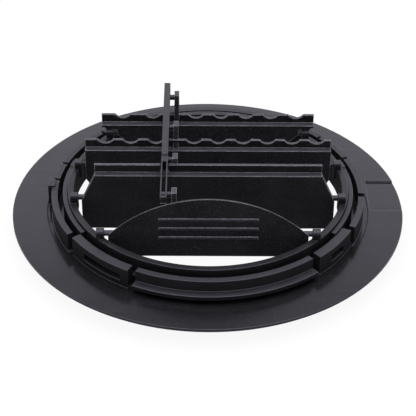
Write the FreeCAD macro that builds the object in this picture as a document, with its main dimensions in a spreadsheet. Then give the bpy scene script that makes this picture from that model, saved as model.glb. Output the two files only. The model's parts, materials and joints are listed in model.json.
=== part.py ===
import FreeCAD, Part
import math
import os
import Sketcher

# Round louvred air vent: a snap-in bezel with a turning ring that carries four linked louvres.
# Millimetres. Z = 0 is the front face of the bezel and +Z points into the duct.
# The louvres' pivots lie along X and are spaced along Y.

doc = FreeCAD.newDocument("round_louvred_vent")
sheet = doc.addObject("Spreadsheet::Sheet", "dims")

SIZES = [
    # bezel: flange, dome and throat
    ("flange_radius", 60.0),
    ("flange_rear", 5.5),
    ("rim_edge", 0.8),
    ("front_land_radius", 49.0),
    ("throat_radius", 42.7),
    ("mouth_radius", 45.6),
    ("seat_relief_radius", 49.4),
    ("seat_relief_depth", 0.3),
    ("strip_depth", 0.5),
    ("strip_width", 16.0),
    ("strip_start", 50.0),
    ("strip_offset", 5.0),
    # snap collar: a front part under the ledge, and a wider part round the sides and the back
    ("collar_radius", 46.4),
    ("collar_step", 1.5),
    ("collar_wall", 1.9),
    ("collar_height", 6.0),
    ("collar_slot", 2.0),
    ("collar_notch", 1.1),
    ("notch_depth", 3.6),
    ("ledge_reach", 2.5),
    ("ledge_rise", 1.3),
    ("ledge_thickness", 1.2),
    ("tab_thickness", 1.0),
    ("long_window_width", 14.5),
    ("short_window_width", 6.4),
    ("window_height", 2.4),
    ("window_sill", 1.5),
    ("lug_reach", 1.2),
    ("lug_rise", 0.7),
    # rotor and its retaining ring
    ("rotor_bore", 41.0),
    ("rotor_wall", 1.9),
    ("rotor_top", 12.9),
    ("rotor_lip", 0.9),
    ("rotor_flare", 1.3),
    ("flare_height", 1.8),
    ("lip_thickness", 2.0),
    ("seat_depth", 2.2),
    ("running_gap", 0.1),
    ("ring_height", 2.5),
    ("ring_wall", 1.45),
    ("hook_height", 6.6),
    ("stud_height", 7.0),
    ("boss_radius", 1.45),
    ("boss_length", 2.3),
    ("inner_boss_inset", 0.9),
    ("outer_boss_inset", 0.3),
    ("boss_root", 3.0),
    # louvres
    ("pivot_height", 14.3),
    ("pivot_pitch", 18.2),
    ("blade_thickness", 1.8),
    ("blade_radius", 39.9),
    ("blade_edge_taper", 0.95),
    ("blade_half_width", 38.0),
    ("lip_plate", 0.9),
    ("lip_gap", 0.3),
    ("web_height", 0.8),
    ("pin_radius", 0.85),
    ("pin_root", 3.0),
    ("pin_gap", 0.05),
    ("end_gap", 0.3),
    # lengths of the louvres above and below their pivots, and the height of each lip
    ("finger_below", 7.6),
    ("second_above", 10.8),
    ("second_below", 10.8),
    ("second_lip", 2.5),
    ("second_top_half", 33.9),
    ("second_shoulder", 0.9),
    ("third_above", 8.0),
    ("third_below", 13.0),
    ("third_lip", 2.6),
    ("third_shoulder", 5.2),
    ("third_mid_below", 9.2),
    ("third_mid_half", 35.6),
    ("third_foot_half", 33.2),
    ("rear_above", 6.0),
    ("rear_lip", 2.7),
    ("rear_top_half", 34.0),
    ("rear_neck_half", 32.4),
    ("neck_gap", 0.25),
    # scallops in the lips
    ("scallop_radius", 3.0),
    ("scallop_depth", 1.25),
    # finger ribs
    ("rib_half_length", 14.4),
    ("rib_pitch", 3.2),
    ("rib_lowest", -0.9),
    ("rib_radius", 0.4),
    # cranks and link bar
    ("crank_rise", 10.6),
    ("crank_back", 4.4),
    ("crank_face", -9.2),
    ("crank_thickness", 1.5),
    ("crank_half_width", 1.5),
    ("crank_root_low", 0.5),
    ("crank_root_high", 5.0),
    ("crank_pin_radius", 0.85),
    ("link_gap", 1.4),
    ("link_thickness", 1.9),
    ("link_half_height", 1.7),
    ("link_near_end", 3.2),
    ("link_far_end", 6.2),
    ("link_step", 0.4),
    ("link_step_length", 19.0),
    ("link_slot_start", 2.4),
    ("link_slot_length", 18.0),
    ("link_slot_width", 1.2),
    ("link_chamfer", 1.0),
    # how far a cutting tool runs past what it cuts
    ("tool_margin", 1.0),
]

for row, (alias, value) in enumerate(SIZES, start=1):
    sheet.set("A%d" % row, alias)
    sheet.set("B%d" % row, repr(value))
    sheet.setAlias("B%d" % row, alias)
doc.recompute()

# Where each louvre's pivot sits, in pitches from the centre, front of the list nearest -Y.
LOUVRES = [
    ("finger_louvre", -1.5),
    ("second_louvre", -0.5),
    ("third_louvre", 0.5),
    ("rear_louvre", 1.5),
]


def expand(text):
    """Turn $name into the sheet's dims.name."""
    return text.replace("$", "dims.")


def bind(item, **properties):
    """Bind properties of an object to expressions; a double underscore stands for a dot."""
    for name, text in properties.items():
        item.setExpression(name.replace("__", "."), expand(text))
    return item


def place(item, along_x="0", along_y="0", along_z="0"):
    """Bind an object's position."""
    item.setExpression("Placement.Base.x", expand(along_x))
    item.setExpression("Placement.Base.y", expand(along_y))
    item.setExpression("Placement.Base.z", expand(along_z))
    return item


def box(name, size_x, size_y, size_z, along_x, along_y, along_z):
    item = doc.addObject("Part::Box", name)
    bind(item, Length=size_x, Width=size_y, Height=size_z)
    return place(item, along_x, along_y, along_z)


def upright_cylinder(name, radius, height, along_z="0"):
    item = doc.addObject("Part::Cylinder", name)
    bind(item, Radius=radius, Height=height)
    return place(item, along_z=along_z)


def cylinder_along_x(name, radius, length, start_x, along_y, along_z):
    item = doc.addObject("Part::Cylinder", name)
    bind(item, Radius=radius, Height=length)
    item.Placement.Rotation = FreeCAD.Rotation(FreeCAD.Vector(0, 1, 0), 90)
    return place(item, start_x, along_y, along_z)


def cylinder_along_y(name, radius, length, along_x, start_y, along_z):
    item = doc.addObject("Part::Cylinder", name)
    bind(item, Radius=radius, Height=length)
    item.Placement.Rotation = FreeCAD.Rotation(FreeCAD.Vector(1, 0, 0), -90)
    return place(item, along_x, start_y, along_z)


def radial_box(name, angle, inner, length, width, along_z, height):
    """A box that points away from the Z axis at an angle in degrees from +X."""
    item = doc.addObject("Part::Box", name)
    bind(item, Length=length, Width=width, Height=height)
    item.Placement.Rotation = FreeCAD.Rotation(FreeCAD.Vector(0, 0, 1), angle)
    turn = "%g deg" % angle
    across = "(%s) / 2" % width
    at_x = "(%s) * cos(%s) + %s * sin(%s)" % (inner, turn, across, turn)
    at_y = "(%s) * sin(%s) - %s * cos(%s)" % (inner, turn, across, turn)
    return place(item, at_x, at_y, along_z)


def ring_sector(name, outer, inner, height, along_z, start, sweep):
    """Part of a tube between two angles in degrees from +X."""
    body = doc.addObject("Part::Cylinder", name + "_body")
    bore = doc.addObject("Part::Cylinder", name + "_bore")
    bind(body, Radius=outer, Height=height)
    bind(bore, Radius=inner, Height=height)
    body.Angle = sweep
    body.Placement.Rotation = FreeCAD.Rotation(FreeCAD.Vector(0, 0, 1), start)
    place(body, along_z=along_z)
    place(bore, along_z=along_z)
    return cut(name, body, [bore])


def cut(name, base, tools):
    if len(tools) == 1:
        tool = tools[0]
    else:
        tool = fuse(name + "_tools", tools)
    item = doc.addObject("Part::Cut", name)
    item.Base = base
    item.Tool = tool
    return item


def fuse(name, pieces):
    item = doc.addObject("Part::MultiFuse", name)
    item.Shapes = pieces
    item.Refine = True
    return item


def outline(owner, name, points):
    """A closed sketch on the XZ plane whose corners are bound to expressions."""
    sketch = owner.newObject("Sketcher::SketchObject", name)
    plane = [item for item in owner.Origin.OriginFeatures if item.Role == "XZ_Plane"][0]
    sketch.AttachmentSupport = (plane, [""])
    sketch.MapMode = "FlatFace"
    return draw_corners(sketch, points)


def draw_corners(sketch, points):
    """A closed outline through corners given as (across, up) expressions.

    A third expression is the radius of a counter-clockwise arc that leads to the next corner.
    """
    values = []
    for point in points:
        values.append((number(point[0]), number(point[1])))
    count = len(points)
    for index in range(count):
        start = values[index]
        end = values[(index + 1) % count]
        if len(points[index]) == 3:
            edge = arc_between(start, end, number(points[index][2]))
        else:
            edge = Part.LineSegment(FreeCAD.Vector(*start, 0), FreeCAD.Vector(*end, 0))
        sketch.addGeometry(edge, False)
    for index in range(count):
        following = (index + 1) % count
        sketch.addConstraint(Sketcher.Constraint("Coincident", index, 2, following, 1))
    for index, point in enumerate(points):
        where = values[index]
        added = sketch.addConstraint(Sketcher.Constraint("DistanceX", -1, 1, index, 1, where[0]))
        sketch.setExpression("Constraints[%d]" % added, expand(point[0]))
        added = sketch.addConstraint(Sketcher.Constraint("DistanceY", -1, 1, index, 1, where[1]))
        sketch.setExpression("Constraints[%d]" % added, expand(point[1]))
        if len(point) == 3:
            added = sketch.addConstraint(Sketcher.Constraint("Radius", index, number(point[2])))
            sketch.setExpression("Constraints[%d]" % added, expand(point[2]))
    return sketch


def arc_between(start, end, radius):
    """The short counter-clockwise arc of a given radius from start to end."""
    chord_x = end[0] - start[0]
    chord_y = end[1] - start[1]
    chord = math.hypot(chord_x, chord_y)
    rise = math.sqrt(radius**2 - chord**2 / 4)
    centre_x = (start[0] + end[0]) / 2 - chord_y / chord * rise
    centre_y = (start[1] + end[1]) / 2 + chord_x / chord * rise
    circle = Part.Circle(FreeCAD.Vector(centre_x, centre_y, 0), FreeCAD.Vector(0, 0, 1), radius)
    first = math.atan2(start[1] - centre_y, start[0] - centre_x)
    last = math.atan2(end[1] - centre_y, end[0] - centre_x)
    return Part.ArcOfCircle(circle, first, last)


def number(text):
    """The value of an expression in the sheet's sizes."""
    value = sheet.evalExpression(expand(text))
    return float(value.Value) if hasattr(value, "Value") else float(value)


def lathe(name, points):
    """A turned body: a closed profile of (radius, height) corners revolved about Z."""
    body = doc.addObject("PartDesign::Body", name)
    sketch = outline(body, name + "_profile", points)
    doc.recompute()
    turned = body.newObject("PartDesign::Revolution", name + "_revolution")
    turned.Profile = sketch
    turned.ReferenceAxis = (sketch, ["V_Axis"])
    turned.Angle = 360
    body.Tip = turned
    doc.recompute()
    return body


def plate(name, points, thickness, front):
    """A flat plate in the XZ plane, from front towards +Y."""
    sketch = doc.addObject("Sketcher::SketchObject", name + "_outline")
    sketch.Placement = FreeCAD.Placement(
        FreeCAD.Vector(0, 0, 0), FreeCAD.Rotation(FreeCAD.Vector(1, 0, 0), 90)
    )
    draw_corners(sketch, points)
    sketch.setExpression("Placement.Base.y", expand("%s + %s" % (front, thickness)))
    item = doc.addObject("Part::Extrusion", name)
    item.Base = sketch
    item.DirMode = "Normal"
    item.Solid = True
    bind(item, LengthFwd=thickness)
    return item


def side_plate(name, points, thickness, start_x):
    """A flat plate in the YZ plane, from start_x towards +X."""
    sketch = doc.addObject("Sketcher::SketchObject", name + "_outline")
    turn = FreeCAD.Rotation(FreeCAD.Vector(0, 1, 0), FreeCAD.Vector(0, 0, 1), FreeCAD.Vector(1, 0, 0))
    sketch.Placement = FreeCAD.Placement(FreeCAD.Vector(0, 0, 0), turn)
    draw_corners(sketch, points)
    sketch.setExpression("Placement.Base.x", expand(start_x))
    item = doc.addObject("Part::Extrusion", name)
    item.Base = sketch
    item.DirMode = "Normal"
    item.Solid = True
    bind(item, LengthFwd=thickness)
    return item


# ---------------------------------------------------------------- bezel housing

COLLAR_TOP = "($flange_rear + $collar_height)"
COLLAR_BORE = "($collar_radius - $collar_wall)"
WIDE_RADIUS = "($collar_radius + $collar_step)"
WIDE_BORE = "($collar_radius + $collar_step - $collar_wall)"
RELIEF_FLOOR = "($flange_rear - $seat_relief_depth)"
SEAT_RADIUS = "($rotor_bore + $rotor_wall + $rotor_lip + $pin_gap)"
SEAT_FLOOR = "($flange_rear - $seat_depth)"
DOME_RISE = "($flange_rear - $rim_edge)"
DOME_REACH = "($flange_radius - $front_land_radius)"
DOME_RADIUS = "((%s ^ 2 + %s ^ 2) / (2 * %s))" % (DOME_REACH, DOME_RISE, DOME_RISE)

# Angles in degrees from +X, counter-clockwise seen from the rear.
FRONT_COLLAR_START = -149.0
FRONT_COLLAR_SWEEP = 123.0
LEDGE_START = -116.5
LEDGE_SWEEP = 67.0
SLOT_ANGLES = [-117.8, -148.5, -48.4, -26.0, -4.0]
NOTCH_ANGLES = [21.5, 39.0, 137.1, 163.2, 174.5]
TAB_SECTORS = [(-147.0, 28.0), (-47.4, 20.6)]
WINDOWS = [(-131.0, "$long_window_width"), (-36.9, "$short_window_width")]
LUG_START = 176.0
LUG_SWEEP = 4.0


def make_housing():
    flange = lathe(
        "flange",
        [
            ("$mouth_radius", "0"),
            ("$front_land_radius", "0", DOME_RADIUS),
            ("$flange_radius", DOME_RISE),
            ("$flange_radius", "$flange_rear"),
            ("$seat_relief_radius", "$flange_rear"),
            ("$seat_relief_radius", RELIEF_FLOOR),
            ("$collar_radius", RELIEF_FLOOR),
            ("$collar_radius", "$flange_rear"),
            (SEAT_RADIUS, "$flange_rear"),
            (SEAT_RADIUS, SEAT_FLOOR),
            ("$throat_radius", SEAT_FLOOR),
        ],
    )
    wall_height = "$collar_height + $seat_relief_depth"
    wide_start = FRONT_COLLAR_START + FRONT_COLLAR_SWEEP
    wide_sweep = 360 - FRONT_COLLAR_SWEEP
    added = [flange]
    added.append(
        ring_sector(
            "front_collar",
            "$collar_radius",
            COLLAR_BORE,
            wall_height,
            RELIEF_FLOOR,
            FRONT_COLLAR_START,
            FRONT_COLLAR_SWEEP,
        )
    )
    added.append(
        ring_sector(
            "wide_collar",
            WIDE_RADIUS,
            WIDE_BORE,
            wall_height,
            RELIEF_FLOOR,
            wide_start,
            wide_sweep,
        )
    )
    added.append(
        ring_sector(
            "snap_ledge",
            "$collar_radius + $ledge_reach",
            "$collar_radius - $collar_wall / 2",
            "$ledge_thickness",
            "$flange_rear + $ledge_rise",
            LEDGE_START,
            LEDGE_SWEEP,
        )
    )
    added.append(
        ring_sector(
            "side_lug",
            WIDE_RADIUS + " + $lug_reach",
            WIDE_RADIUS + " - $collar_wall / 2",
            wall_height + " + $lug_rise",
            RELIEF_FLOOR,
            LUG_START,
            LUG_SWEEP,
        )
    )
    for index, (start, sweep) in enumerate(TAB_SECTORS):
        added.append(
            ring_sector(
                "snap_tab_%d" % index,
                "$collar_radius + $tab_thickness",
                "$collar_radius - $collar_wall / 2",
                wall_height,
                RELIEF_FLOOR,
                start,
                sweep,
            )
        )
    solid = fuse("housing_solid", added)
    inside = COLLAR_BORE + " - $tool_margin / 2"
    across = "$collar_wall + $collar_step + $ledge_reach + $tool_margin"
    removed = []
    for index, angle in enumerate(SLOT_ANGLES):
        removed.append(
            radial_box(
                "collar_slot_%d" % index,
                angle,
                inside,
                across,
                "$collar_slot",
                "$flange_rear",
                "$collar_height + $tool_margin",
            )
        )
    for index, angle in enumerate(NOTCH_ANGLES):
        removed.append(
            radial_box(
                "collar_notch_%d" % index,
                angle,
                inside,
                across,
                "$collar_notch",
                COLLAR_TOP + " - $notch_depth",
                "$notch_depth + $tool_margin",
            )
        )
    for index, (angle, width) in enumerate(WINDOWS):
        removed.append(
            radial_box(
                "tab_window_%d" % index,
                angle,
                inside,
                across,
                width,
                "$flange_rear + $window_sill",
                "$window_height",
            )
        )
    removed.append(
        box(
            "date_strip",
            "$flange_radius - $strip_start + $tool_margin",
            "$strip_width",
            "$strip_depth + $tool_margin",
            "$strip_start",
            "$strip_offset - $strip_width / 2",
            "$flange_rear - $strip_depth",
        )
    )
    housing = cut("bezel_housing", solid, removed)
    housing.Label = "bezel_housing"
    return housing


# ---------------------------------------------------------------- rotor and retaining ring

ROTOR_FLOOR = "(%s + $running_gap)" % SEAT_FLOOR
ROTOR_RADIUS = "($rotor_bore + $rotor_wall)"


def pivot_y(pitches):
    return "(%g * $pivot_pitch)" % pitches


def boss_face(pitches):
    """Distance of a boss's inner face from the centre plane."""
    at_y = pivot_y(pitches)
    inset = "$outer_boss_inset" if abs(pitches) > 1 else "$inner_boss_inset"
    return "(sqrt($rotor_bore ^ 2 - %s ^ 2) - %s)" % (at_y, inset)


# Where the retaining ring stands up beside the rotor, and the studs at the hooks' far ends.
HOOK_SECTORS = [(162.0, 51.0), (-33.0, 51.0)]
STUD_SECTORS = [(162.0, 4.0), (14.0, 4.0)]


def make_retaining_ring():
    inner = "(%s + $running_gap)" % ROTOR_RADIUS
    outer = "(%s + $ring_wall - $pin_gap)" % inner
    pieces = [
        lathe(
            "ring_base",
            [
                (inner, "$flange_rear"),
                (outer, "$flange_rear"),
                (outer, "$flange_rear + $ring_height"),
                (inner, "$flange_rear + $ring_height"),
            ],
        )
    ]
    for kind, height, sectors in (
        ("hook", "$hook_height", HOOK_SECTORS),
        ("stud", "$stud_height", STUD_SECTORS),
    ):
        for index, (start, sweep) in enumerate(sectors):
            name = "ring_%s_%d" % (kind, index)
            pieces.append(ring_sector(name, outer, inner, height, "$flange_rear", start, sweep))
    ring = fuse("retaining_ring", pieces)
    ring.Label = "retaining_ring"
    return ring


def make_rotor():
    lip_top = "%s + $lip_thickness" % ROTOR_FLOOR
    barrel = lathe(
        "rotor_barrel",
        [
            ("$rotor_bore + $rotor_flare", ROTOR_FLOOR),
            ("%s + $rotor_lip" % ROTOR_RADIUS, ROTOR_FLOOR),
            ("%s + $rotor_lip" % ROTOR_RADIUS, lip_top),
            (ROTOR_RADIUS, lip_top),
            (ROTOR_RADIUS, "$rotor_top"),
            ("$rotor_bore", "$rotor_top"),
            ("$rotor_bore", ROTOR_FLOOR + " + $flare_height"),
        ],
    )
    roots = []
    bosses = []
    holes = []
    for name, pitches in LOUVRES:
        for side in (-1, 1):
            tag = "%s_%s" % (name, "left" if side < 0 else "right")
            face = boss_face(pitches)
            start = face if side > 0 else "-%s - $boss_length" % face
            at_y = pivot_y(pitches)
            bosses.append(
                cylinder_along_x(
                    "boss_" + tag, "$boss_radius", "$boss_length", start, at_y, "$pivot_height"
                )
            )
            roots.append(
                box(
                    "boss_root_" + tag,
                    "$boss_length",
                    "2 * $boss_radius",
                    "$pivot_height - $rotor_top + $boss_root",
                    start,
                    "%s - $boss_radius" % at_y,
                    "$rotor_top - $boss_root",
                )
            )
            holes.append(
                cylinder_along_x(
                    "socket_" + tag,
                    "$pin_radius + $pin_gap",
                    "$boss_length + 2 * $tool_margin",
                    "%s - $tool_margin" % start,
                    at_y,
                    "$pivot_height",
                )
            )
    trimmed = doc.addObject("Part::Common", "trimmed_roots")
    trimmed.Base = fuse("all_roots", roots)
    trimmed.Tool = upright_cylinder("root_limit", ROTOR_RADIUS, "$pivot_height")
    rotor = cut("rotor_ring", fuse("rotor_solid", [barrel, trimmed] + bosses), holes)
    rotor.Label = "rotor_ring"
    return rotor


# ---------------------------------------------------------------- louvres

FRONT = "-$blade_thickness / 2"
LIP_FRONT = "($blade_thickness / 2 + $lip_gap)"
WEB_DEPTH = "($blade_thickness + $lip_gap + $lip_plate)"


def pivot_pins(name, pitches, half_width):
    """Pins on the ends of a louvre that turn in the rotor's bosses."""
    pieces = []
    at_y = pivot_y(pitches)
    inner = "(%s - $pin_root)" % half_width
    length = "(%s + $boss_length - $end_gap - %s)" % (boss_face(pitches), inner)
    for side in (-1, 1):
        tag = "%s_%s" % (name, "left" if side < 0 else "right")
        start = inner if side > 0 else "-%s - %s" % (inner, length)
        pieces.append(
            cylinder_along_x("pin_" + tag, "$pin_radius", length, start, at_y, "$pivot_height")
        )
    return pieces


def crank(name, pitches):
    """The crank arm behind a louvre and the pin that reaches through the link bar."""
    at_y = pivot_y(pitches)
    mid_y = "%s + $crank_back" % at_y
    mid_z = "$pivot_height + $crank_rise"
    root_y = "%s + $blade_thickness / 4" % at_y
    arm = side_plate(
        "arm_" + name,
        [
            (root_y, "$pivot_height + $crank_root_low"),
            ("%s + $crank_half_width" % mid_y, "%s - $crank_half_width" % mid_z),
            ("%s + $crank_half_width" % mid_y, "%s + $crank_half_width" % mid_z),
            ("%s - $crank_half_width" % mid_y, "%s + $crank_half_width" % mid_z),
            (root_y, "$pivot_height + $crank_root_high"),
        ],
        "$crank_thickness",
        "$crank_face - $crank_thickness",
    )
    start = "$crank_face - $crank_thickness - $link_gap - $link_thickness + $end_gap"
    pin = cylinder_along_x(
        "crank_pin_" + name,
        "$crank_pin_radius",
        "$crank_thickness + $link_gap + $link_thickness - $end_gap",
        start,
        mid_y,
        mid_z,
    )
    return [arm, pin]


def closed_disc(name, pitches):
    """The round outline that all four louvres fill together when they are shut.

    It narrows towards the louvre's back, which leaves a thin edge in front.
    """
    at_y = pivot_y(pitches)
    item = doc.addObject("Part::Cone", "disc_" + name)
    bind(
        item,
        Radius1="$blade_radius",
        Radius2="$blade_radius - $blade_edge_taper",
        Height="$blade_thickness",
    )
    item.Placement.Rotation = FreeCAD.Rotation(FreeCAD.Vector(1, 0, 0), -90)
    return place(item, "0", "%s + %s" % (at_y, FRONT), "$pivot_height + %s" % at_y)


def lip(name, pitches, half_width, above, height):
    """A lip set back behind the plate, with the web that carries it."""
    at_y = pivot_y(pitches)
    ledge = "$pivot_height + %s - %s" % (above, height)
    web = box(
        "web_" + name,
        "2 * %s" % half_width,
        WEB_DEPTH,
        "$web_height",
        "-%s" % half_width,
        "%s + %s" % (at_y, FRONT),
        "%s - $web_height" % ledge,
    )
    lip_plate = box(
        "lip_" + name,
        "2 * %s" % half_width,
        "$lip_plate",
        "%s + $web_height" % height,
        "-%s" % half_width,
        "%s + %s" % (at_y, LIP_FRONT),
        "%s - $web_height" % ledge,
    )
    return [web, lip_plate]


def scallops(name, pitches, above, rows):
    """Round notches along the edge of a lip; each row is (first place, step, count)."""
    at_y = pivot_y(pitches)
    places = []
    for first, step, count in rows:
        places += [first + step * index for index in range(count)]
    tools = []
    for index, along_x in enumerate(places):
        tools.append(
            cylinder_along_y(
                "scallop_%s_%d" % (name, index),
                "$scallop_radius",
                "$lip_plate + $tool_margin",
                "%g" % along_x,
                "%s + %s - $tool_margin / 2" % (at_y, LIP_FRONT),
                "$pivot_height + %s + $scallop_radius - $scallop_depth" % above,
            )
        )
    return tools


# Rows of scallops along X: (first place, step, count).
THIRD_SCALLOPS = [(-4.4, 7.6, 6), (-16.1, -7.8, 3)]
REAR_SCALLOPS = [(-3.8, 8.0, 5), (-17.6, -9.7, 2)]


def finish(name, pieces):
    louvre = fuse(name, pieces)
    louvre.Label = name
    return louvre


def make_finger_louvre():
    name, pitches = LOUVRES[0]
    at_y = pivot_y(pitches)
    above = "($blade_radius + %s)" % at_y
    blank = box(
        "blank_" + name,
        "2 * $blade_radius",
        "$blade_thickness",
        "$finger_below + %s" % above,
        "-$blade_radius",
        "%s + %s" % (at_y, FRONT),
        "$pivot_height - $finger_below",
    )
    blade = doc.addObject("Part::Common", "blade_" + name)
    blade.Base = blank
    blade.Tool = closed_disc(name, pitches)
    sides = "sqrt($blade_radius ^ 2 - %s ^ 2)" % at_y
    trim = []
    for side in (-1, 1):
        start = sides if side > 0 else "-$blade_radius - $tool_margin"
        trim.append(
            box(
                "trim_%s_%d" % (name, side + 1),
                "$blade_radius + $tool_margin - %s" % sides,
                "$blade_thickness + 2 * $tool_margin",
                "$finger_below + $tool_margin",
                start,
                "%s + %s - $tool_margin" % (at_y, FRONT),
                "$pivot_height - $finger_below - $tool_margin",
            )
        )
    pieces = [cut("trimmed_" + name, blade, trim)]
    for index in range(3):
        pieces.append(
            cylinder_along_x(
                "finger_rib_%d" % index,
                "$rib_radius",
                "2 * $rib_half_length",
                "-$rib_half_length",
                "%s + %s" % (at_y, FRONT),
                "$pivot_height + $rib_lowest + %d * $rib_pitch" % index,
            )
        )
    pieces += pivot_pins(name, pitches, sides)
    pieces += crank(name, pitches)
    return finish(name, pieces)


def make_second_louvre():
    name, pitches = LOUVRES[1]
    at_y = pivot_y(pitches)
    front = "%s + %s" % (at_y, FRONT)
    blade = plate(
        "blade_" + name,
        [
            ("-$blade_half_width", "$pivot_height - $second_below"),
            ("$blade_half_width", "$pivot_height - $second_below"),
            ("$blade_half_width", "$pivot_height - $second_shoulder"),
            ("$second_top_half", "$pivot_height + $second_above - $second_lip"),
            ("-$second_top_half", "$pivot_height + $second_above - $second_lip"),
            ("-$blade_half_width", "$pivot_height - $second_shoulder"),
        ],
        "$blade_thickness",
        front,
    )
    pieces = [blade] + lip(name, pitches, "$second_top_half", "$second_above", "$second_lip")
    solid = fuse("solid_" + name, pieces)
    link_left = "$crank_face - $crank_thickness - $link_gap - $link_thickness"
    relief = box(
        "relief_" + name,
        "$link_thickness + 2 * $end_gap",
        WEB_DEPTH,
        "$second_lip",
        "%s - $end_gap" % link_left,
        "%s + %s" % (at_y, LIP_FRONT),
        "$pivot_height + $crank_rise - $link_half_height - $end_gap",
    )
    pieces = [cut("relieved_" + name, solid, [relief])]
    pieces += pivot_pins(name, pitches, "$blade_half_width")
    pieces += crank(name, pitches)
    return finish(name, pieces)


def make_third_louvre():
    name, pitches = LOUVRES[2]
    at_y = pivot_y(pitches)
    blade = plate(
        "blade_" + name,
        [
            ("-$third_foot_half", "$pivot_height - $third_below"),
            ("$third_foot_half", "$pivot_height - $third_below"),
            ("$third_mid_half", "$pivot_height - $third_mid_below"),
            ("$blade_half_width", "$pivot_height - $third_shoulder"),
            ("$blade_half_width", "$pivot_height + $third_above - $third_lip"),
            ("-$blade_half_width", "$pivot_height + $third_above - $third_lip"),
            ("-$blade_half_width", "$pivot_height - $third_shoulder"),
            ("-$third_mid_half", "$pivot_height - $third_mid_below"),
        ],
        "$blade_thickness",
        "%s + %s" % (at_y, FRONT),
    )
    pieces = [blade] + lip(name, pitches, "$blade_half_width", "$third_above", "$third_lip")
    notches = scallops(name, pitches, "$third_above", THIRD_SCALLOPS)
    pieces = [cut("notched_" + name, fuse("solid_" + name, pieces), notches)]
    pieces += pivot_pins(name, pitches, "$blade_half_width")
    pieces += crank(name, pitches)
    return finish(name, pieces)


def make_rear_louvre():
    name, pitches = LOUVRES[3]
    at_y = pivot_y(pitches)
    front = "%s + %s" % (at_y, FRONT)
    below = "($blade_radius - %s)" % at_y
    lower = box(
        "blank_" + name,
        "2 * $blade_radius",
        "$blade_thickness",
        below,
        "-$blade_radius",
        front,
        "$pivot_height - %s" % below,
    )
    disc_part = doc.addObject("Part::Common", "blade_" + name)
    disc_part.Base = lower
    disc_part.Tool = closed_disc(name, pitches)
    sides = "sqrt($blade_radius ^ 2 - %s ^ 2)" % at_y
    neck = "$pivot_height + $boss_radius + $neck_gap"
    upper = plate(
        "upper_" + name,
        [
            ("-" + sides, "$pivot_height"),
            (sides, "$pivot_height"),
            (sides, neck),
            ("$rear_neck_half", neck),
            ("$rear_top_half", "$pivot_height + $rear_above - $rear_lip"),
            ("-$rear_top_half", "$pivot_height + $rear_above - $rear_lip"),
            ("-$rear_neck_half", neck),
            ("-" + sides, neck),
        ],
        "$blade_thickness",
        front,
    )
    pieces = [disc_part, upper]
    pieces += lip(name, pitches, "$rear_top_half", "$rear_above", "$rear_lip")
    notches = scallops(name, pitches, "$rear_above", REAR_SCALLOPS)
    pieces = [cut("notched_" + name, fuse("solid_" + name, pieces), notches)]
    pieces += pivot_pins(name, pitches, sides)
    pieces += crank(name, pitches)
    return finish(name, pieces)


# ---------------------------------------------------------------- link bar

def make_link_bar():
    first_y = "(%s + $crank_back)" % pivot_y(LOUVRES[0][1])
    last_y = "(%s + $crank_back)" % pivot_y(LOUVRES[3][1])
    mid_z = "($pivot_height + $crank_rise)"
    left = "($crank_face - $crank_thickness - $link_gap - $link_thickness)"
    near = "(%s - $link_near_end)" % first_y
    far = "(%s + $link_far_end)" % last_y
    bar = side_plate(
        "bar_blank",
        [
            (near, "%s - $link_half_height + $link_chamfer" % mid_z),
            ("%s + $link_chamfer" % near, "%s - $link_half_height" % mid_z),
            ("%s - $link_chamfer" % far, "%s - $link_half_height" % mid_z),
            (far, "%s - $link_half_height + $link_chamfer" % mid_z),
            (far, "%s + $link_half_height" % mid_z),
            (near, "%s + $link_half_height" % mid_z),
        ],
        "$link_thickness",
        left,
    )
    removed = []
    for name, pitches in LOUVRES:
        removed.append(
            cylinder_along_x(
                "link_hole_" + name,
                "$crank_pin_radius + $pin_gap",
                "$link_thickness + 2 * $tool_margin",
                "%s - $tool_margin" % left,
                "%s + $crank_back" % pivot_y(pitches),
                mid_z,
            )
        )
    removed.append(
        box(
            "link_slot",
            "$link_slot_width",
            "$link_slot_length",
            "2 * $link_half_height + 2 * $tool_margin",
            "%s + ($link_thickness - $link_slot_width) / 2" % left,
            "%s - $link_slot_start" % first_y,
            "%s - $link_half_height - $tool_margin" % mid_z,
        )
    )
    removed.append(
        box(
            "link_step_cut",
            "$link_thickness + 2 * $tool_margin",
            "$link_near_end + $link_step_length + $tool_margin",
            "$link_step + $tool_margin",
            "%s - $tool_margin" % left,
            "%s - $tool_margin" % near,
            "%s + $link_half_height - $link_step" % mid_z,
        )
    )
    link = cut("link_bar", bar, removed)
    link.Label = "link_bar"
    return link


def main():
    nodes = [
        make_housing(),
        make_retaining_ring(),
        make_rotor(),
        make_finger_louvre(),
        make_second_louvre(),
        make_third_louvre(),
        make_rear_louvre(),
        make_link_bar(),
    ]
    doc.recompute()
    for item in doc.Objects:
        if "Invalid" in item.State or "Error" in item.State:
            raise RuntimeError("%s failed: %s" % (item.Name, item.State))
    os.makedirs("parts", exist_ok=True)
    for node in nodes:
        shape = node.Shape
        if shape.isNull() or not shape.isValid():
            raise RuntimeError("%s has a bad shape" % node.Label)
        print(node.Label, "solids", len(shape.Solids), "volume %.1f" % shape.Volume)
        shape.exportStep("parts/%s.step" % node.Label)


main()
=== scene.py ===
import json
import math

import bpy
from mathutils import Matrix, Vector


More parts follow.
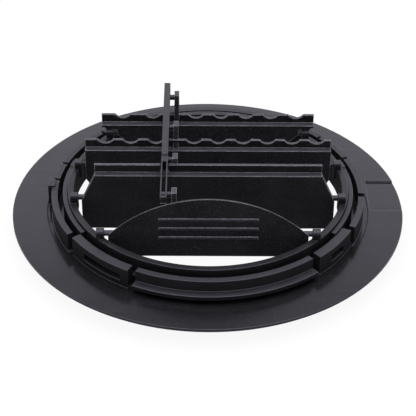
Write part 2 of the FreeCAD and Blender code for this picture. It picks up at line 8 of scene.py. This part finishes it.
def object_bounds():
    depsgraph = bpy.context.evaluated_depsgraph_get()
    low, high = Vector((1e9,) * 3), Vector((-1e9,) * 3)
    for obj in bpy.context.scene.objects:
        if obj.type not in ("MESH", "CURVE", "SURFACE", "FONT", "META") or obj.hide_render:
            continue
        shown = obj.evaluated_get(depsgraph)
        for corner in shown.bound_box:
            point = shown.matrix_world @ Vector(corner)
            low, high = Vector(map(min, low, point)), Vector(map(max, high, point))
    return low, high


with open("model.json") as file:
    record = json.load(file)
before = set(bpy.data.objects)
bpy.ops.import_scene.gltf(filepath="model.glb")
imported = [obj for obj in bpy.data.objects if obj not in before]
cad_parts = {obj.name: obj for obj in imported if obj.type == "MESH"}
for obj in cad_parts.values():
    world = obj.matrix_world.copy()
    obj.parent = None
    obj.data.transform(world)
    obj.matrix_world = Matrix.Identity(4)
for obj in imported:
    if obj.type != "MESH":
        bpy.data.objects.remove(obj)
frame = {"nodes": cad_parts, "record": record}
cad_low, cad_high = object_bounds()

MM = 0.001
mounts = {mount["name"]: mount for mount in frame["record"]["mounts"]}

# Rim plane of the bezel: the plane that the panel rests on, and that the camera is set from.
RIM_HEIGHT = mounts["panel_seat"]["pos_m"][2]


# ---------------------------------------------------------------- node graphs
NOISE_ROUGHNESS = 0.6


class Graph:
    """Adds nodes to the node tree of a material or world, and links them as they are made."""

    def __init__(self, owner):
        owner.use_nodes = True
        self.tree = owner.node_tree
        self.tree.nodes.clear()

    def add(self, kind, settings=None, **inputs):
        """Adds a node; an input goes by its label with _ for a space, or by its number, as _0."""
        node = self.tree.nodes.new(kind)
        for name, value in (settings or {}).items():
            setattr(node, name, value)
        for name, value in inputs.items():
            socket = node.inputs[int(name[1:])] if name[0] == "_" else node.inputs[name.replace("_", " ")]
            if isinstance(value, bpy.types.NodeSocket):
                self.tree.links.new(value, socket)
            else:
                socket.default_value = value
        return node

    def noise(self, place, scale, detail=3.0):
        return self.add("ShaderNodeTexNoise", None, Vector=place, Scale=scale, Detail=detail,
                        Roughness=NOISE_ROUGHNESS).outputs["Fac"]

    def ramp(self, value, low, high, to_low=0.0, to_high=1.0):
        return self.add("ShaderNodeMapRange", {"clamp": True}, Value=value, From_Min=low, From_Max=high,
                        To_Min=to_low, To_Max=to_high).outputs["Result"]

    def math(self, operation, first, second=0.0):
        return self.add("ShaderNodeMath", {"operation": operation}, _0=first, _1=second).outputs[0]

    def mix(self, factor, first, second):
        return self.add("ShaderNodeMix", {"data_type": "RGBA"}, _0=factor, _6=first, _7=second).outputs[2]

    def upward(self, vector):
        return self.add("ShaderNodeSeparateXYZ", None, Vector=vector).outputs["Z"]


def grey(value, blue=1.0):
    return (value, value, value * blue, 1.0)


# ---------------------------------------------------------------- plastic
# The plastic is a touch bluer than neutral, and so is what it reflects.
PLASTIC_BLUE = 1.12
SHEEN_TINT = (0.80, 0.79, 1.0, 1.0)
PLASTIC_IOR = 1.52

# How fine the noises are, per metre; flow streaks are drawn out along X.
CLOUD_SCALE = 90.0
PATCH_SCALE = 260.0
STREAK_SCALE = (40.0, 420.0, 420.0)

# Noise runs from 0 to 1 about a middle of 0.5. Each mask fades in over one of these stretches of it.
CLOUD_STRETCH = (0.3, 0.7)
GRAIN_STRETCH = (0.35, 0.75)
SPECK_STRETCH = (0.56, 0.70)
PATCH_STRETCH = (0.35, 0.65)
CREST_STRETCH = (0.42, 0.58)
PIT_STRETCH = (0.3, 0.7)
STREAK_STRETCH = (0.35, 0.7)

# Most of the light colour that grain brings in, and the least of the scuffed, painted-highlight edge colour
# between patches and between crests.
GRAIN_SHARE = 0.35
PATCH_LEAST = 0.5
CREST_LEAST = 0.35

# How far grain takes the roughness down and up, and how far streaks take it up.
GRAIN_SMOOTHER = 0.05
GRAIN_ROUGHER = 0.07
STREAK_ROUGHER = 0.06

# Strengths of the bumps, and the depth of the flow clouds.
GRAIN_STRENGTH = 0.6
FLOW_STRENGTH = 0.5
FLOW_DEPTH = 0.03 * MM

# Radius of an edge, and the cosine between its true and its rounded normal where the edge mask, which
# polishes edges and lays a painted highlight on them, starts and is full.
EDGE_RADIUS = 0.32 * MM
EDGE_SAMPLES = 6
EDGE_MASK_STARTS = 0.995
EDGE_MASK_FULL = 0.86
# Share of an edge's roughness that handling has polished away.
EDGE_POLISH = 0.5

# Z part of the normal below which a face is an upright wall, and above which it is flat.
WALL_NORMAL = 0.25
FLAT_NORMAL = 0.8

# Height over which the duller core takes over behind the flange.
CORE_STEP = 0.3 * MM


def flat_mask(g, normal):
    """1 on flat faces and 0 on upright walls."""
    return g.ramp(g.math("ABSOLUTE", g.upward(normal)), WALL_NORMAL, FLAT_NORMAL)


def edge_mask(g, rounded):
    """1 on edges and 0 on plain faces."""
    true_normal = g.add("ShaderNodeNewGeometry").outputs["Normal"]
    facing = g.add("ShaderNodeVectorMath", {"operation": "DOT_PRODUCT"}, _0=rounded, _1=true_normal)
    return g.ramp(facing.outputs["Value"], EDGE_MASK_STARTS, EDGE_MASK_FULL)


def plastic_colour(g, place, clouds, specks, edge, dark, light, speck, wear_and_highlight_colour, wear_and_highlight_share):
    """Dark plastic with lighter clouds and grain, light specks if asked for, and edges scuffed in patches,
    their light colour partly a painted highlight.
    """
    cloudy = g.mix(g.ramp(clouds, *CLOUD_STRETCH), dark, light)
    grainy = g.mix(g.ramp(specks, *GRAIN_STRETCH, 0.0, GRAIN_SHARE), cloudy, light)
    if speck:
        grainy = g.mix(g.ramp(specks, *SPECK_STRETCH), grainy, speck)
    patches = g.ramp(g.noise(place, PATCH_SCALE), *PATCH_STRETCH, PATCH_LEAST, 1.0)
    broken = g.math("MULTIPLY", patches, g.ramp(specks, *CREST_STRETCH, CREST_LEAST, 1.0))
    # Edge colour laid on in patches: scuffing, lightened into a painted highlight along the edges.
    wear_and_highlight = g.math("MULTIPLY", g.math("MULTIPLY", edge, broken), wear_and_highlight_share)
    return g.mix(wear_and_highlight, grainy, wear_and_highlight_colour)


def plastic_roughness(g, place, specks, edge, flatness, roughness, wall_roughness, core_roughness):
    """Grain and flow streaks, duller on walls and behind the flange, polished on edges."""
    stretched = g.add("ShaderNodeMapping", None, Vector=place, Scale=STREAK_SCALE).outputs[0]
    streaks = g.noise(stretched, 1.0)
    pitted = g.ramp(specks, *PIT_STRETCH, roughness - GRAIN_SMOOTHER, roughness + GRAIN_ROUGHER)
    rough = g.math("ADD", pitted, g.ramp(streaks, *STREAK_STRETCH, 0.0, STREAK_ROUGHER))
    rough = g.math("ADD", rough, g.ramp(flatness, 0.0, 1.0, wall_roughness, 0.0))
    if core_roughness:
        core = g.ramp(g.upward(place), RIM_HEIGHT, RIM_HEIGHT + CORE_STEP, 0.0, core_roughness - roughness)
        rough = g.math("ADD", rough, core)
    return g.math("MULTIPLY", rough, g.math("SUBTRACT", 1.0, g.math("MULTIPLY", edge, EDGE_POLISH)))


def moulded_plastic(name, dark, light, wear_and_highlight_colour, roughness, grain, grain_depth, wall_gloss, flat_gloss,
                    wear_and_highlight_share=0.5, wall_roughness=0.1, core_roughness=None, speck=None):
    """Black moulded plastic: spark-eroded grain, faint flow clouds, scuffed edges lightened by a painted
    highlight, duller upright walls.

    The colours dark, light and speck, and the scuffed edges' colour with its painted highlight, are grey
    values, and grain is the grain's scale per metre.
    A core roughness applies behind the bezel's flange, where the mould was less polished.
    """
    dark, light, wear_and_highlight_colour = (grey(value, PLASTIC_BLUE) for value in (dark, light, wear_and_highlight_colour))
    speck = grey(speck, PLASTIC_BLUE) if speck else None
    material = bpy.data.materials.new(name)
    g = Graph(material)
    coordinates = g.add("ShaderNodeTexCoord")
    place = coordinates.outputs["Object"]
    clouds = g.noise(place, CLOUD_SCALE, 4.0)
    specks = g.noise(place, grain)
    rounded = g.add("ShaderNodeBevel", {"samples": EDGE_SAMPLES}, Radius=EDGE_RADIUS).outputs[0]
    edge = edge_mask(g, rounded)
    flatness = flat_mask(g, coordinates.outputs["Normal"])

    grain_bump = g.add("ShaderNodeBump", None, Strength=GRAIN_STRENGTH, Distance=grain_depth,
                       Height=specks, Normal=rounded).outputs[0]
    flow_bump = g.add("ShaderNodeBump", None, Strength=FLOW_STRENGTH, Distance=FLOW_DEPTH,
                      Height=clouds, Normal=grain_bump).outputs[0]
    shader = g.add(
        "ShaderNodeBsdfPrincipled", None,
        Base_Color=plastic_colour(g, place, clouds, specks, edge, dark, light, speck, wear_and_highlight_colour, wear_and_highlight_share),
        Roughness=plastic_roughness(g, place, specks, edge, flatness, roughness, wall_roughness,
                                    core_roughness),
        Specular_IOR_Level=g.ramp(g.math("MAXIMUM", flatness, edge), 0.0, 1.0, wall_gloss, flat_gloss),
        Specular_Tint=SHEEN_TINT,
        IOR=PLASTIC_IOR,
        Normal=flow_bump,
    )
    g.add("ShaderNodeOutputMaterial", None, Surface=shader.outputs[0])
    return material


housing_plastic = moulded_plastic(
    "housing_plastic", dark=0.006, light=0.011, wear_and_highlight_colour=0.09, roughness=0.17, core_roughness=0.48,
    grain=1700.0, grain_depth=0.0015 * MM, wall_gloss=0.2, flat_gloss=0.85)
rotor_plastic = moulded_plastic(
    "rotor_plastic", dark=0.007, light=0.012, wear_and_highlight_colour=0.16, roughness=0.34, wall_roughness=0.45,
    grain=1900.0, grain_depth=0.010 * MM, wall_gloss=0.10, flat_gloss=0.6)
# The louvres' light edge colour paints the bright highlight lines along their edges.
louvre_plastic = moulded_plastic(
    "louvre_plastic", dark=0.003, light=0.014, wear_and_highlight_colour=0.60, speck=0.05, wear_and_highlight_share=0.8, roughness=0.50,
    grain=2300.0, grain_depth=0.400 * MM, wall_gloss=0.16, flat_gloss=1.0)
link_plastic = moulded_plastic(
    "link_plastic", dark=0.006, light=0.012, wear_and_highlight_colour=0.06, roughness=0.40,
    grain=1900.0, grain_depth=0.008 * MM, wall_gloss=0.3, flat_gloss=0.85)

FINISH = {
    "bezel_housing": housing_plastic,
    "retaining_ring": housing_plastic,
    "rotor_ring": rotor_plastic,
    "finger_louvre": louvre_plastic,
    "second_louvre": louvre_plastic,
    "third_louvre": louvre_plastic,
    "rear_louvre": louvre_plastic,
    "link_bar": link_plastic,
}
for name, material in FINISH.items():
    slots = frame["nodes"][name].data.materials
    slots.clear()
    slots.append(material)


# ---------------------------------------------------------------- floor and background
WHITE = grey(1.0)

# Half the floor's side in metres, its gap below the part, and its paper.
FLOOR_REACH = 3.0
FLOOR_GAP = 0.3 * MM
PAPER = grey(0.86)
# How white the camera sees the floor, and how white reflections see it.
FLOOR_SEEN = 0.92
FLOOR_MIRRORED = 0.35

# Strength of the plain sky that lights the part.
SKY = 0.3
# What reflections see instead: a white band above the horizon, then a nearly dark ceiling. The band
# fades out between its top and its end, each the sine of an elevation.
CEILING = 0.03
LOW_BAND_TOP = 0.585
LOW_BAND_END = 0.655


def white_share(g, seen_by_camera, seen_in_gloss):
    """How white camera rays, and mirror and glass rays, see a surface; the part's light sees it plain."""
    path = g.add("ShaderNodeLightPath")
    gloss = g.math("MAXIMUM", path.outputs["Is Glossy Ray"], path.outputs["Is Transmission Ray"])
    return g.math("MAXIMUM", g.math("MULTIPLY", path.outputs["Is Camera Ray"], seen_by_camera),
                  g.math("MULTIPLY", gloss, seen_in_gloss))


def floor_paper():
    material = bpy.data.materials.new("floor_paper")
    g = Graph(material)
    paper = g.add("ShaderNodeBsdfDiffuse", None, Color=PAPER)
    glow = g.add("ShaderNodeEmission", None, Color=WHITE, Strength=1.0)
    share = white_share(g, FLOOR_SEEN, FLOOR_MIRRORED)
    blend = g.add("ShaderNodeMixShader", None, _0=share, _1=paper.outputs[0], _2=glow.outputs[0])
    g.add("ShaderNodeOutputMaterial", None, Surface=blend.outputs[0])
    return material


def lay_floor():
    corners = [(x * FLOOR_REACH, y * FLOOR_REACH, 0) for x, y in ((-1, -1), (1, -1), (1, 1), (-1, 1))]
    mesh = bpy.data.meshes.new("floor")
    mesh.from_pydata(corners, [], [(0, 1, 2, 3)])
    mesh.materials.append(floor_paper())
    floor = bpy.data.objects.new("floor", mesh)
    floor.location.z = cad_low.z - FLOOR_GAP
    bpy.context.scene.collection.objects.link(floor)


def hang_sky():
    world = bpy.data.worlds.new("studio")
    bpy.context.scene.world = world
    g = Graph(world)
    height = g.upward(g.add("ShaderNodeTexCoord").outputs["Generated"])
    white = white_share(g, 1.0, g.ramp(height, LOW_BAND_TOP, LOW_BAND_END, 1.0, CEILING))
    lighting = g.math("SUBTRACT", 1.0, white_share(g, 1.0, 1.0))
    strength = g.math("ADD", white, g.math("MULTIPLY", lighting, SKY))
    background = g.add("ShaderNodeBackground", None, Color=WHITE, Strength=strength)
    g.add("ShaderNodeOutputWorld", None, Surface=background.outputs[0])


lay_floor()
hang_sky()


# ---------------------------------------------------------------- lamps
# Point that both lamps face.
LAMP_TARGET = Vector((0, 0, 0.01))


def softbox(name, place, size, power, in_gloss):
    lamp = bpy.data.lights.new(name, "AREA")
    lamp.shape = "SQUARE"
    lamp.size = size
    lamp.energy = power
    item = bpy.data.objects.new(name, lamp)
    item.location = place
    item.rotation_mode = "QUATERNION"
    item.rotation_quaternion = (Vector(place) - LAMP_TARGET).to_track_quat("Z", "Y")
    item.visible_glossy = in_gloss
    bpy.context.scene.collection.objects.link(item)


softbox("softbox_back", place=(0.0, 0.75, 0.62), size=0.7, power=0.9, in_gloss=False)
softbox("softbox_top", place=(0.0, 0.0, 0.7), size=0.9, power=6.8, in_gloss=True)


# ---------------------------------------------------------------- camera
DISTANCE = 430.0 * MM
ELEVATION = math.radians(35.33)
YAW = math.radians(0.55)
ROLL = math.radians(0.57)
# How far the rim's centre lies from the picture's centre, at the rim's distance.
ASIDE = -0.062 * MM
ABOVE = 1.239 * MM
# Sensor and lens in millimetres, and the nearest and farthest metres that the camera sees.
SENSOR_WIDTH = 36.0
FOCAL_LENGTH = 120.1
NEAREST = 0.01
FARTHEST = 20.0


def place_camera():
    level_right = Vector((math.cos(YAW), -math.sin(YAW), 0))
    away = Vector((math.sin(YAW), math.cos(YAW), 0))
    level_up = away * math.sin(ELEVATION) + Vector((0, 0, math.cos(ELEVATION)))
    back = Vector((0, 0, math.sin(ELEVATION))) - away * math.cos(ELEVATION)
    right = level_right * math.cos(ROLL) + level_up * math.sin(ROLL)
    up = level_up * math.cos(ROLL) - level_right * math.sin(ROLL)
    rim_centre = Vector((0, 0, RIM_HEIGHT))
    place = rim_centre + back * DISTANCE - right * ASIDE - up * ABOVE

    lens = bpy.data.cameras.new("camera")
    lens.sensor_width = SENSOR_WIDTH
    lens.lens = FOCAL_LENGTH
    lens.clip_start = NEAREST
    lens.clip_end = FARTHEST
    camera = bpy.data.objects.new("camera", lens)
    camera.matrix_world = Matrix.Translation(place) @ Matrix((right, up, back)).transposed().to_4x4()
    bpy.context.scene.collection.objects.link(camera)
    bpy.context.scene.camera = camera


place_camera()
bpy.context.scene.view_settings.view_transform = "Standard"
